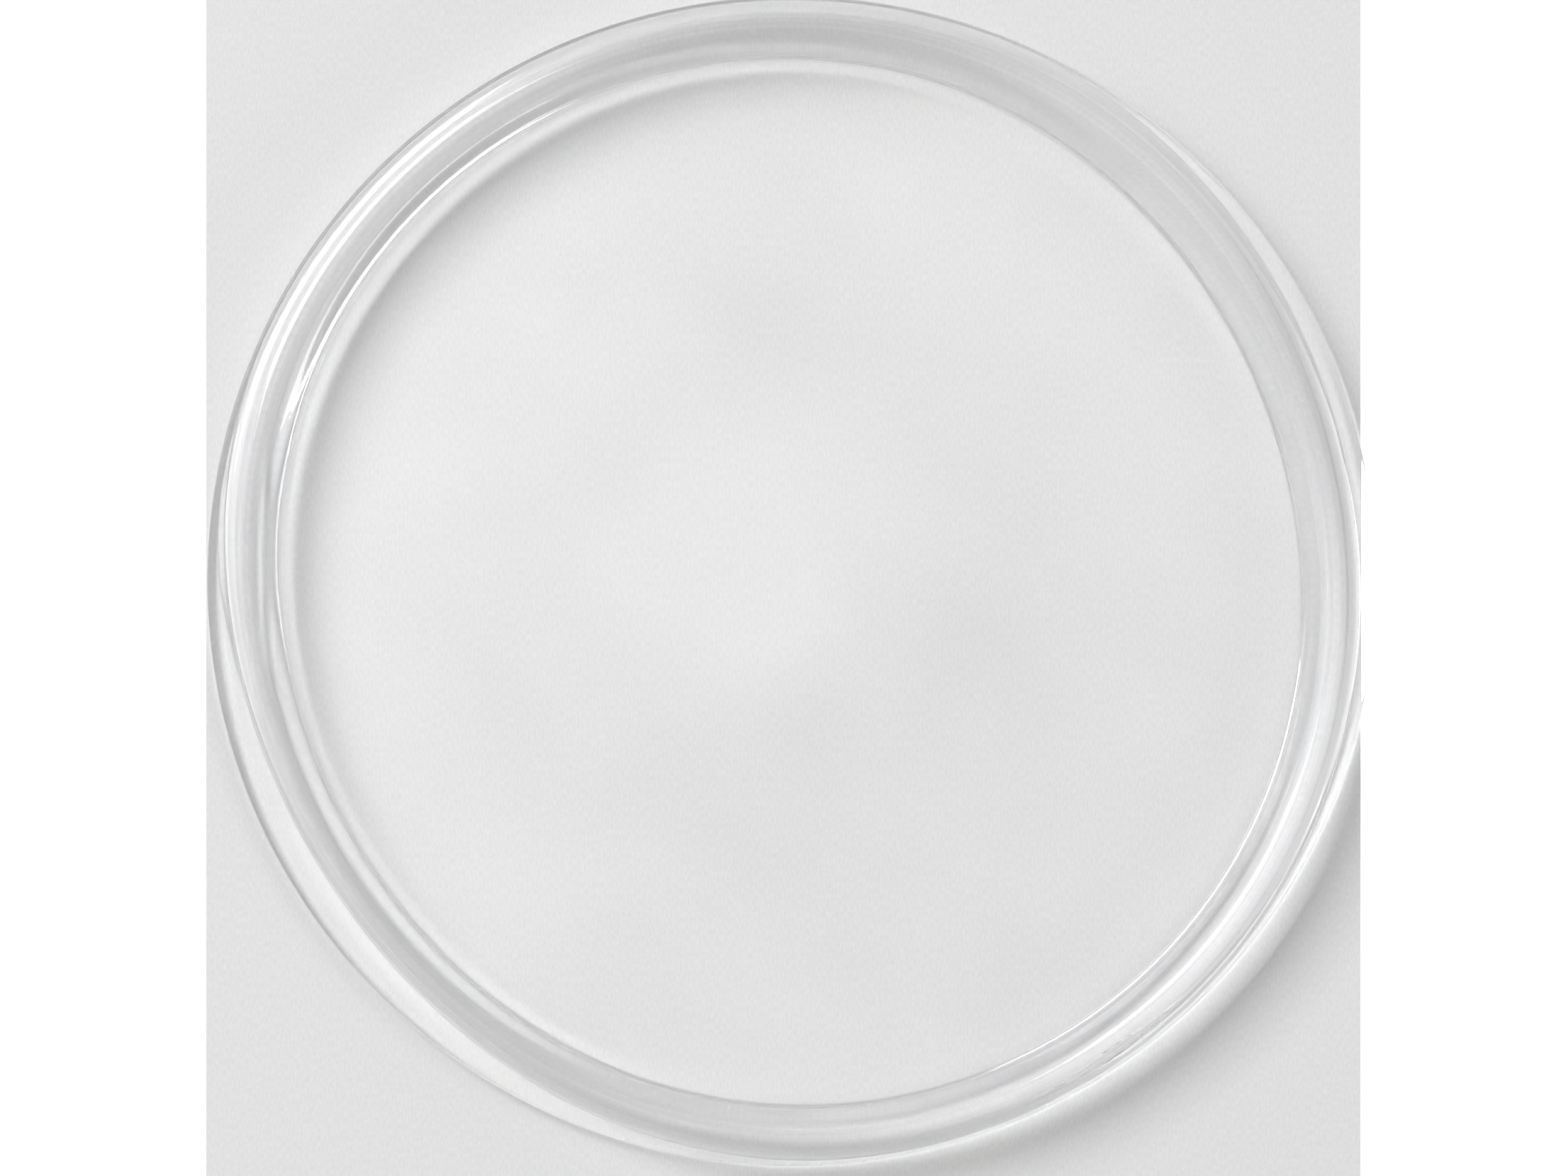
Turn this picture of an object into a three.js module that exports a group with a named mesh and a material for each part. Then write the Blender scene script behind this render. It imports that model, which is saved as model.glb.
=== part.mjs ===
// A round glass vanity tray: a flat glass disc with a solid glass ring bonded on top of it as
// the wall. Millimetres, +Z up, origin under the middle of the disc.
import * as THREE from "three";

// Base plate: a float-glass disc with a polished edge.
const PLATE_RADIUS = 90;
const PLATE_THICKNESS = 3;
const PLATE_EDGE_ROUND = 0.6;

// Bond: the film of clear adhesive between plate and ring, set back from both edges of the ring's foot.
const BOND_THICKNESS = 0.25;
const BOND_SET_BACK = 0.4;

// Wall ring: flat foot and a smooth crown, fuller than a half ellipse, which would be fullness 2.
// It is bent and fused by hand, so it is slightly oval and sits slightly off the plate's middle.
const TRAY_HEIGHT = 15;
const RING_INNER_RADIUS = 79.6;
const RING_WIDTH = 8.4;
const CROWN_FULLNESS = 2.3;
const RING_OVALNESS = 0.0185;
const RING_LONG_AXIS_ANGLE = THREE.MathUtils.degToRad(-60);
const RING_OFFSET_X = 0.2;
const RING_OFFSET_Y = 0.3;

// Fineness of the turned shapes.
const STEPS_AROUND = 96;
const STEPS_PER_ROUND = 4;
const STEPS_OVER_CROWN = 24;

const QUARTER_TURN = Math.PI / 2;
const RING_OUTER_RADIUS = RING_INNER_RADIUS + RING_WIDTH;
const RING_FOOT_HEIGHT = PLATE_THICKNESS + BOND_THICKNESS;

const plateGlass = new THREE.MeshStandardMaterial({ color: 0xeef2f1, roughness: 0.03, metalness: 0 });
const ringGlass = new THREE.MeshStandardMaterial({ color: 0xf1f4f4, roughness: 0.02, metalness: 0 });
const clearAdhesive = new THREE.MeshStandardMaterial({ color: 0xf4f4f0, roughness: 0.1, metalness: 0 });

// Points along a quarter circle round a profile corner, from startAngle, anticlockwise.
function quarterRound(centreRadius, centreHeight, round, startAngle) {
  const points = [];
  for (let step = 0; step <= STEPS_PER_ROUND; step += 1) {
    const angle = startAngle + (QUARTER_TURN * step) / STEPS_PER_ROUND;
    const radius = centreRadius + round * Math.cos(angle);
    const height = centreHeight + round * Math.sin(angle);
    points.push(new THREE.Vector2(radius, height));
  }
  return points;
}

// A profile of radius and height turned round the Z axis.
function turned(profile) {
  const geometry = new THREE.LatheGeometry(profile, STEPS_AROUND);
  geometry.rotateX(QUARTER_TURN);
  return geometry;
}

// Makes a turned ring oval along the long axis and moves it to its place on the plate.
function setOnPlate(geometry) {
  geometry.scale(1 + RING_OVALNESS, 1 - RING_OVALNESS, 1);
  geometry.rotateZ(RING_LONG_AXIS_ANGLE);
  geometry.translate(RING_OFFSET_X, RING_OFFSET_Y, 0);
  return geometry;
}

function named(name, geometry, material) {
  const mesh = new THREE.Mesh(geometry, material);
  mesh.name = name;
  return mesh;
}

function makeBasePlate() {
  const flatRadius = PLATE_RADIUS - PLATE_EDGE_ROUND;
  const profile = [
    new THREE.Vector2(0, 0),
    ...quarterRound(flatRadius, PLATE_EDGE_ROUND, PLATE_EDGE_ROUND, -QUARTER_TURN),
    ...quarterRound(flatRadius, PLATE_THICKNESS - PLATE_EDGE_ROUND, PLATE_EDGE_ROUND, 0),
    new THREE.Vector2(0, PLATE_THICKNESS),
  ];
  return named("base_plate", turned(profile), plateGlass);
}

function makeBondFilm() {
  const inner = RING_INNER_RADIUS + BOND_SET_BACK;
  const outer = RING_OUTER_RADIUS - BOND_SET_BACK;
  const profile = [
    new THREE.Vector2(inner, PLATE_THICKNESS),
    new THREE.Vector2(outer, PLATE_THICKNESS),
    new THREE.Vector2(outer, RING_FOOT_HEIGHT),
    new THREE.Vector2(inner, RING_FOOT_HEIGHT),
    new THREE.Vector2(inner, PLATE_THICKNESS),
  ];
  return named("bond_film", setOnPlate(turned(profile)), clearAdhesive);
}

// The ring's profile: over the crown from the foot's outer edge to its inner edge, then back along the foot.
function crownProfile() {
  const middle = (RING_INNER_RADIUS + RING_OUTER_RADIUS) / 2;
  const rise = TRAY_HEIGHT - RING_FOOT_HEIGHT;
  const power = 2 / CROWN_FULLNESS;
  const points = [];
  for (let step = 0; step <= STEPS_OVER_CROWN; step += 1) {
    const angle = (Math.PI * step) / STEPS_OVER_CROWN;
    const across = Math.sign(Math.cos(angle)) * Math.abs(Math.cos(angle)) ** power;
    const up = Math.abs(Math.sin(angle)) ** power;
    points.push(new THREE.Vector2(middle + (RING_WIDTH / 2) * across, RING_FOOT_HEIGHT + rise * up));
  }
  points[0].y = RING_FOOT_HEIGHT;
  points[STEPS_OVER_CROWN].y = RING_FOOT_HEIGHT;
  points.push(points[0].clone());
  return points;
}

function makeWallRing() {
  return named("wall_ring", setOnPlate(turned(crownProfile())), ringGlass);
}

const tray = new THREE.Group();
tray.add(makeBasePlate());
tray.add(makeBondFilm());
tray.add(makeWallRing());

export default tray;
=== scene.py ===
"""A round clear glass vanity tray on pale paper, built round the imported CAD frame. Metres, +Z up."""
import math

import bmesh
import bpy
import numpy as np
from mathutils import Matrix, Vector


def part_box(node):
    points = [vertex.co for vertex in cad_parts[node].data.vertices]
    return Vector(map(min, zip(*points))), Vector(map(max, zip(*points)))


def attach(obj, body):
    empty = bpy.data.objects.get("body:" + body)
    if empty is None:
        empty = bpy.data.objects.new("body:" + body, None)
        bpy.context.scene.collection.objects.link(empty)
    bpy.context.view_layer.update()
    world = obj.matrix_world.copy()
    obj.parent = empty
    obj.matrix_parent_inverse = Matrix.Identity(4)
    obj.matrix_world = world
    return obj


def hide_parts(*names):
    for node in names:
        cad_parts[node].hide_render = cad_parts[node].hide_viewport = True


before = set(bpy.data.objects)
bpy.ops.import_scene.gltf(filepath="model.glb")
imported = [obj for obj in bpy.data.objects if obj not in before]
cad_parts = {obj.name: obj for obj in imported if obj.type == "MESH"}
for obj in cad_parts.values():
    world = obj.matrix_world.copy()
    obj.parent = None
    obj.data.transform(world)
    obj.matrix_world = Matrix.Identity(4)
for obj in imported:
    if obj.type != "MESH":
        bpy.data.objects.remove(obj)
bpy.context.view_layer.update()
scene = bpy.context.scene

MM = 0.001
STEPS_AROUND = 1440
ANGLES = np.arange(STEPS_AROUND) * 2 * math.pi / STEPS_AROUND

# The frame's own sizes, in millimetres.
PLATE_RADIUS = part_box("base_plate")[1].x / MM
PLATE_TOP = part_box("base_plate")[1].z / MM
RING_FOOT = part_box("wall_ring")[0].z / MM
RING_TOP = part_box("wall_ring")[1].z / MM
PLATE_EDGE_ROUND = 0.35
MOST_OF_HALF_A_SIDE = 0.48
SAME_PLACE = 1e-7
ON_AXIS = 1e-6
CREASE_ANGLE = math.radians(35)
GLASS, WETTED, GROUND = 0, 1, 2

# The ring's two hand-shaped outlines seen from above: the mean radius, then for each number of lobes
# round it how far it swells and towards which angle. Millimetres and degrees.
INNER_OUTLINE = (79.6, {1: (0.2, -118), 2: (1.45, -64), 3: (0.16, 52), 4: (0.20, -24)})
OUTER_OUTLINE = (88.2, {1: (0.95, 59), 2: (1.80, -63), 3: (0.56, 42), 4: (0.33, -20)})
# The plate's rim shows at least LEAST_LEDGE outside the ring, and the outline eases off over the last
# SOFT_LIMIT before that.
LEAST_LEDGE = 0.7
SOFT_LIMIT = 0.4


def seeded_wave(seed, lobes, size):
    """A smooth wandering round the ring: size in mm, lobes = the (fewest, most) waves round it."""
    draw = np.random.default_rng(seed)
    total = np.zeros(STEPS_AROUND)
    for count in range(lobes[0], lobes[1] + 1):
        total += draw.normal() * np.cos(count * ANGLES + draw.uniform(0, 2 * math.pi)) / math.sqrt(count)
    return size * total / np.abs(total).max()


def bump_at(centre_degrees, width_degrees):
    """1 at that angle and smoothly 0 beyond that half-width."""
    off = np.degrees((ANGLES - math.radians(centre_degrees) + math.pi) % (2 * math.pi) - math.pi)
    inside = np.clip(1 - np.abs(off) / width_degrees, 0, 1)
    return inside * inside * (3 - 2 * inside)


def outline_radius(outline):
    """The outline's radius about the tray's own centre, at each angle."""
    mean, lobes = outline
    radius = np.full(STEPS_AROUND, mean)
    for count, (swell, towards) in lobes.items():
        radius += swell * np.cos(count * (ANGLES - math.radians(towards)))
    return radius


def rounded_section(corners, roundings, steps):
    """The corner list (radius, height) with each rounded corner turned into an arc of that many steps.
    A rounding is made smaller where its two sides are too short for it."""
    path = []
    count = len(corners)
    for i, (corner, rounding) in enumerate(zip(corners, roundings)):
        here = np.array(corner, float)
        if rounding == 0:
            path.append(tuple(here))
            continue
        back = np.array(corners[i - 1], float) - here
        ahead = np.array(corners[(i + 1) % count], float) - here
        room = MOST_OF_HALF_A_SIDE * min(np.linalg.norm(back), np.linalg.norm(ahead))
        back /= np.linalg.norm(back)
        ahead /= np.linalg.norm(ahead)
        half = math.acos(np.clip(back @ ahead, -1, 1)) / 2
        reach = min(rounding / math.tan(half), room)
        radius = reach * math.tan(half)
        centre = here + (back + ahead) / np.linalg.norm(back + ahead) * radius / math.sin(half)
        first = here + back * reach - centre
        last = here + ahead * reach - centre
        start = math.atan2(first[1], first[0])
        turn = (math.atan2(last[1], last[0]) - start + math.pi) % (2 * math.pi) - math.pi
        for k in range(steps + 1):
            angle = start + turn * k / steps
            path.append((centre[0] + radius * math.cos(angle), centre[1] + radius * math.sin(angle)))
    return path


def turned_mesh(name, loops, strip_materials, closed):
    """A piece skinned over loops. A loop is (radii, heights), each a number or one value per angle.
    An open piece starts and ends on the axis. strip_materials[i] is the material index of the strip
    between loop i and the next."""
    mesh = bmesh.new()
    rows = []
    for radii, heights in loops:
        radii = np.broadcast_to(radii, ANGLES.shape)
        heights = np.broadcast_to(heights, ANGLES.shape)
        if radii.max() < ON_AXIS:
            rows.append([mesh.verts.new((0, 0, heights[0] * MM))] * STEPS_AROUND)
            continue
        rows.append([
            mesh.verts.new((r * math.cos(a) * MM, r * math.sin(a) * MM, z * MM))
            for r, a, z in zip(radii, ANGLES, heights)
        ])
    last = len(rows) if closed else len(rows) - 1
    for i in range(last):
        here, there = rows[i], rows[(i + 1) % len(rows)]
        for k in range(STEPS_AROUND):
            n = (k + 1) % STEPS_AROUND
            corners = list(dict.fromkeys((here[k], here[n], there[n], there[k])))
            face = mesh.faces.new(corners)
            face.smooth = True
            face.material_index = strip_materials[i]
    bmesh.ops.remove_doubles(mesh, verts=mesh.verts, dist=SAME_PLACE)
    bmesh.ops.dissolve_degenerate(mesh, edges=mesh.edges, dist=SAME_PLACE)
    bmesh.ops.recalc_face_normals(mesh, faces=mesh.faces)
    data = bpy.data.meshes.new(name)
    mesh.to_mesh(data)
    mesh.free()
    data.set_sharp_from_angle(angle=CREASE_ANGLE)
    piece = bpy.data.objects.new(name, data)
    scene.collection.objects.link(piece)
    return piece


# ---------------------------------------------------------------- materials

def new_material(name):
    material = bpy.data.materials.new(name)
    material.use_nodes = True
    nodes = material.node_tree.nodes
    return material, nodes, material.node_tree.links, nodes["Principled BSDF"]


def glass_material(name, colour, haze, haze_scale, ripple, ripple_scale):
    """Clear glass with a patchy haze of handling, up to that roughness, and faint drawn ripples
    that many metres high."""
    material, nodes, links, shader = new_material(name)
    shader.inputs["Base Color"].default_value = (*colour, 1)
    shader.inputs["IOR"].default_value = 1.5
    shader.inputs["Transmission Weight"].default_value = 1.0
    place = nodes.new("ShaderNodeTexCoord")
    patches = nodes.new("ShaderNodeTexNoise")
    patches.inputs["Scale"].default_value = haze_scale
    patches.inputs["Detail"].default_value = 5.0
    spread = nodes.new("ShaderNodeMapRange")
    spread.inputs["From Min"].default_value = 0.45
    spread.inputs["From Max"].default_value = 0.80
    spread.inputs["To Min"].default_value = 0.0
    spread.inputs["To Max"].default_value = haze
    links.new(place.outputs["Object"], patches.inputs["Vector"])
    links.new(patches.outputs["Fac"], spread.inputs["Value"])
    links.new(spread.outputs["Result"], shader.inputs["Roughness"])
    ripples = nodes.new("ShaderNodeTexNoise")
    ripples.inputs["Scale"].default_value = ripple_scale
    ripples.inputs["Detail"].default_value = 1.0
    bump = nodes.new("ShaderNodeBump")
    bump.inputs["Strength"].default_value = 1.0
    bump.inputs["Distance"].default_value = ripple
    links.new(place.outputs["Object"], ripples.inputs["Vector"])
    links.new(ripples.outputs["Fac"], bump.inputs["Height"])
    links.new(bump.outputs["Normal"], shader.inputs["Normal"])
    return material


def contact_material(name):
    """The wetted faces where two clear pieces are bonded: light goes straight on, with no air between."""
    material = bpy.data.materials.new(name)
    material.use_nodes = True
    nodes, links = material.node_tree.nodes, material.node_tree.links
    nodes.remove(nodes["Principled BSDF"])
    clear = nodes.new("ShaderNodeBsdfTransparent")
    links.new(clear.outputs["BSDF"], nodes["Material Output"].inputs["Surface"])
    return material


plate_glass = glass_material("plate_glass", (0.999, 0.999, 0.998), 0.04, 30.0, 0.000004, 40.0)
ring_glass = glass_material("ring_glass", (0.980, 0.980, 0.986), 0.03, 60.0, 0.000002, 60.0)
adhesive = glass_material("clear_adhesive", (0.995, 0.995, 0.99), 0.08, 500.0, 0.000004, 500.0)
ground_edge = glass_material("ground_edge", (0.99, 1.0, 0.995), 0.45, 900.0, 0.000010, 1500.0)
wetted = contact_material("bonded_contact")

# ---------------------------------------------------------------- the pieces

# The ring's section: a smooth crown, fuller than a half ellipse when FULLNESS is over 2. Where the rod is
# narrower it is also lower, by the width's THINNING power. The adhesive wets it up to WET_HEIGHT mm.
FULLNESS = 2.3
THINNING = 0.6
WET_HEIGHT = 0.3
CROWN_STEPS = 144
# The rod's two ends are fused in a shallow lens-shaped seam near the outer edge.
SEAM_ANGLE, SEAM_HALF_LENGTH, SEAM_WIDTH, SEAM_FROM_EDGE = -55.5, 10.0, 1.8, 2.3
SEAM_SHOULDER, SEAM_DEPTH = 0.25, 0.6

inner = outline_radius(INNER_OUTLINE) + seeded_wave(3, (3, 6), 0.02)
outer = outline_radius(OUTER_OUTLINE) + seeded_wave(5, (3, 6), 0.04)
# The foot stays on the plate's flat top, so the outer outline eases off before it gets there.
over = outer - (PLATE_RADIUS - LEAST_LEDGE - SOFT_LIMIT)
outer = outer - np.where(over > 0, over - SOFT_LIMIT * np.tanh(over / SOFT_LIMIT), 0)


def in_seam(radii):
    """1 within the seam's lens shape and 0 outside it, with a narrow shoulder between."""
    half_width = SEAM_WIDTH / 2 * bump_at(SEAM_ANGLE, SEAM_HALF_LENGTH)
    return np.clip((half_width - np.abs(radii - (outer - SEAM_FROM_EDGE))) / SEAM_SHOULDER, 0, 1)


def ring_loops():
    """The ring's loops, from the foot's outer edge up over the crown and down to its inner edge."""
    rise = RING_TOP - RING_FOOT
    first = math.asin((WET_HEIGHT / rise) ** (FULLNESS / 2))
    width = outer - inner
    rise = rise * (width / width.max()) ** THINNING
    over_crown = [first + (math.pi - 2 * first) * k / CROWN_STEPS for k in range(CROWN_STEPS + 1)]
    loops = []
    for turn in [0.0] + over_crown + [math.pi]:
        across = math.copysign(abs(math.cos(turn)) ** (2 / FULLNESS), math.cos(turn))
        up = max(0.0, math.sin(turn)) ** (2 / FULLNESS)
        radii = (outer + inner) / 2 + (outer - inner) / 2 * across
        loops.append((radii, RING_FOOT + rise * up - SEAM_DEPTH * in_seam(radii)))
    return loops


# The first and last two loops are the foot's edges, which the adhesive wets.
crown = ring_loops()
outer_foot_edge = crown[:2]
inner_foot_edge = crown[-2:]
strips = [WETTED] + [GLASS] * (len(crown) - 3) + [WETTED, WETTED]
wall_ring = turned_mesh("wall_ring_glass", crown, strips, closed=True)


# The bond film fills under the foot and wets the foot's edges. On one side it was squeezed out in an
# uneven bead. Its free edge bends at BEND_SHARE of its reach, BEND_HEIGHT above the plate.
FILLET_STEPS = (0.15, 0.3, 0.45, 0.6, 0.8, 1.0)
BEND_SHARE, BEND_HEIGHT = 0.2, 0.03
OUTER_REACH, INNER_REACH = 0.20, 0.30
BEAD_ANGLE, BEAD_HALF_LENGTH, BEAD_WIDTH = 177.0, 17.0, 0.9


def fillet(top, reach, fullness=0.0):
    """The adhesive's edge, from a loop on the ring down to the plate, reach mm further out, or in if
    negative. It is hollow, and swells to a bead as fullness goes from 0 to 1."""
    start_radius, start_height = top
    foot_radius = start_radius + reach
    bend_radius = start_radius + reach * (BEND_SHARE + (1 - BEND_SHARE) * fullness)
    bend_height = PLATE_TOP + BEND_HEIGHT + (start_height - PLATE_TOP - BEND_HEIGHT) * fullness
    path = []
    for t in FILLET_STEPS:
        radius = (1 - t) ** 2 * start_radius + 2 * t * (1 - t) * bend_radius + t ** 2 * foot_radius
        height = (1 - t) ** 2 * start_height + 2 * t * (1 - t) * bend_height + t ** 2 * PLATE_TOP
        path.append((radius, height))
    return path


bead = bump_at(BEAD_ANGLE, BEAD_HALF_LENGTH)
bead_reach = BEAD_WIDTH * bead * (1 + seeded_wave(12, (30, 90), 0.35))
outer_fillet = fillet(outer_foot_edge[-1], OUTER_REACH + seeded_wave(8, (4, 16), 0.06) + bead_reach, bead)
inner_fillet = fillet(inner_foot_edge[0], -INNER_REACH - seeded_wave(9, (4, 12), 0.03))
film_out, film_in = outer_fillet[-1], inner_fillet[-1]
loops = outer_foot_edge + outer_fillet + inner_fillet[::-1] + inner_foot_edge
strips = ([WETTED] + [GLASS] * len(outer_fillet) + [WETTED] + [GLASS] * len(inner_fillet)
          + [WETTED, WETTED])
bond_film = turned_mesh("bond_film_clear", loops, strips, closed=True)

# The base plate, with a fine-ground rim that is rounded at both edges.
FLOOR_RADII = (20, 40, 60, 74)
RIM_STEPS = 8
corners = [(0, 0), (PLATE_RADIUS, 0), (PLATE_RADIUS, PLATE_TOP), (0, PLATE_TOP)]
edge = rounded_section(corners, (0, PLATE_EDGE_ROUND, PLATE_EDGE_ROUND, 0), RIM_STEPS)
loops = [(0, 0)] + [(r, 0) for r in FLOOR_RADII] + edge[1:-1]
loops += [film_out, film_in]
loops += [(r, PLATE_TOP) for r in reversed(FLOOR_RADII)] + [(0, PLATE_TOP)]
flat_face = [GLASS] * (len(FLOOR_RADII) + 1)
strips = flat_face + [GROUND] * (len(edge) - 3) + [GLASS, WETTED] + flat_face
base_plate = turned_mesh("base_plate_glass", loops, strips, closed=False)

for piece, node, finish, slot in (
    (wall_ring, "wall_ring", ring_glass, "ring_glass"),
    (bond_film, "bond_film", adhesive, "clear_adhesive"),
    (base_plate, "base_plate", plate_glass, "plate_glass"),
):
    piece.data.materials.append(finish)
    piece.data.materials.append(wetted)
    piece.data.materials.append(ground_edge)
    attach(piece, "root")
    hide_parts(node)

# ---------------------------------------------------------------- paper, light and camera

def flat_sheet(name, left, right, half_length, height):
    """A level sheet between two x positions, that long to either side of the middle."""
    data = bpy.data.meshes.new(name)
    near, far = -half_length, half_length
    corners = [(left, near, height), (right, near, height), (right, far, height), (left, far, height)]
    data.from_pydata(corners, [], [(0, 1, 2, 3)])
    sheet = bpy.data.objects.new(name, data)
    scene.collection.objects.link(sheet)
    return sheet


# The tray stands on a sheet of paper about as wide as itself, and the table round it is plain white.
SHEET_HALF_LENGTH = 1.5
paper = flat_sheet("paper", -0.0904, 0.0878, SHEET_HALF_LENGTH, -0.00005)
table = flat_sheet("table", -SHEET_HALF_LENGTH, SHEET_HALF_LENGTH, SHEET_HALF_LENGTH, -0.00025)
table_material, nodes, links, shader = new_material("white_table")
shader.inputs["Emission Color"].default_value = (1, 1, 1, 1)
shader.inputs["Emission Strength"].default_value = 1.0
table.data.materials.append(table_material)
paper_material, nodes, links, shader = new_material("pale_paper")
shader.inputs["Roughness"].default_value = 0.9
shader.inputs["Specular IOR Level"].default_value = 0.2
place = nodes.new("ShaderNodeTexCoord")
stretch = nodes.new("ShaderNodeMapping")
stretch.inputs["Scale"].default_value = (3.0, 1.0, 1.0)
fibres = nodes.new("ShaderNodeTexNoise")
fibres.inputs["Scale"].default_value = 1100.0
fibres.inputs["Detail"].default_value = 3.0
tone = nodes.new("ShaderNodeValToRGB")
tone.color_ramp.elements[0].position = 0.3
tone.color_ramp.elements[0].color = (0.765, 0.765, 0.768, 1)
tone.color_ramp.elements[1].position = 0.7
tone.color_ramp.elements[1].color = (0.835, 0.835, 0.832, 1)
links.new(place.outputs["Object"], stretch.inputs["Vector"])
links.new(stretch.outputs["Vector"], fibres.inputs["Vector"])
links.new(fibres.outputs["Fac"], tone.inputs["Fac"])
links.new(tone.outputs["Color"], shader.inputs["Base Color"])
paper.data.materials.append(paper_material)

ROOM_LIGHT = 0.42
world = bpy.data.worlds.new("studio")
scene.world = world
world.use_nodes = True
world.node_tree.nodes["Background"].inputs["Color"].default_value = (1, 1, 1, 1)
world.node_tree.nodes["Background"].inputs["Strength"].default_value = ROOM_LIGHT


# A patch of lit ceiling, whose soft reflection lies on the plate. At its edges it is as bright as the room.
ceiling = flat_sheet("ceiling", -0.5, 0.5, 0.5, 2.2)
ceiling_material, nodes, links, shader = new_material("ceiling")
place = nodes.new("ShaderNodeTexCoord")
centre = nodes.new("ShaderNodeMapping")
centre.inputs["Location"].default_value = (0.12, 0.0, 0.0)
centre.inputs["Scale"].default_value = (1.8, 1.8, 0.0)
falloff = nodes.new("ShaderNodeTexGradient")
falloff.gradient_type = "SPHERICAL"
clouds = nodes.new("ShaderNodeTexNoise")
clouds.inputs["Scale"].default_value = 6.0
clouds.inputs["Detail"].default_value = 2.0
mixed = nodes.new("ShaderNodeMath")
mixed.operation = "MULTIPLY"
glow = nodes.new("ShaderNodeMapRange")
glow.inputs["From Min"].default_value = 0.15
glow.inputs["From Max"].default_value = 0.48
glow.inputs["To Min"].default_value = ROOM_LIGHT
glow.inputs["To Max"].default_value = 1.5
links.new(place.outputs["Object"], centre.inputs["Vector"])
links.new(centre.outputs["Vector"], falloff.inputs["Vector"])
links.new(place.outputs["Object"], clouds.inputs["Vector"])
links.new(falloff.outputs["Fac"], mixed.inputs[0])
links.new(clouds.outputs["Fac"], mixed.inputs[1])
links.new(mixed.outputs["Value"], glow.inputs["Value"])
links.new(glow.outputs["Result"], shader.inputs["Emission Strength"])
shader.inputs["Emission Color"].default_value = (1, 1, 1, 1)
shader.inputs["Base Color"].default_value = (0.0, 0.0, 0.0, 1)
shader.inputs["Specular IOR Level"].default_value = 0.0
ceiling.data.materials.append(ceiling_material)


def soft_light(name, azimuth, elevation, distance, width, height, power, colour=(1, 1, 1)):
    """A rectangular lamp facing the tray, placed by its direction and distance."""
    data = bpy.data.lights.new(name, "AREA")
    data.shape = "RECTANGLE"
    data.size, data.size_y = width, height
    data.energy = power
    data.color = colour
    lamp = bpy.data.objects.new(name, data)
    scene.collection.objects.link(lamp)
    a, e = math.radians(azimuth), math.radians(elevation)
    lamp.location = distance * Vector((math.cos(e) * math.cos(a), math.cos(e) * math.sin(a), math.sin(e)))
    lamp.rotation_euler = (-lamp.location).to_track_quat("-Z", "Y").to_euler()
    return lamp


soft_light("window", 142, 51, 2.6, 1.3, 1.3, 37.0)
soft_light("far_wall", -40, 35, 2.4, 2.4, 1.6, 7.4)
soft_light("sky_gap", 172, 45, 1.4, 0.6, 0.6, 1.2, (0.88, 0.90, 1.0))
soft_light("warm_wall", 85, 35, 1.5, 0.7, 0.3, 0.6, (1.0, 0.84, 0.68))

CAMERA_HEIGHT = 1.1
SENSOR_WIDTH = 36.0
# The view is about a third wider than the tray.
VIEW_WIDTH = 1.344 * 2 * PLATE_RADIUS * MM
# The tray sits slightly right of the middle of the view, and above it.
TRAY_RIGHT, TRAY_UP = 1.2 * MM, 1.04 * MM
camera_data = bpy.data.cameras.new("camera")
camera_data.sensor_width = SENSOR_WIDTH
camera_data.lens = SENSOR_WIDTH * CAMERA_HEIGHT / VIEW_WIDTH
camera = bpy.data.objects.new("camera", camera_data)
scene.collection.objects.link(camera)
camera.location = (-TRAY_RIGHT, -TRAY_UP, CAMERA_HEIGHT)
scene.camera = camera

scene.view_settings.view_transform = "Standard"
scene.cycles.blur_glossy = 0.0
scene.cycles.sample_clamp_indirect = 0.0
scene.cycles.max_bounces = 24
scene.cycles.transmission_bounces = 24
scene.cycles.glossy_bounces = 16
scene.cycles.diffuse_bounces = 8
scene.cycles.transparent_max_bounces = 24
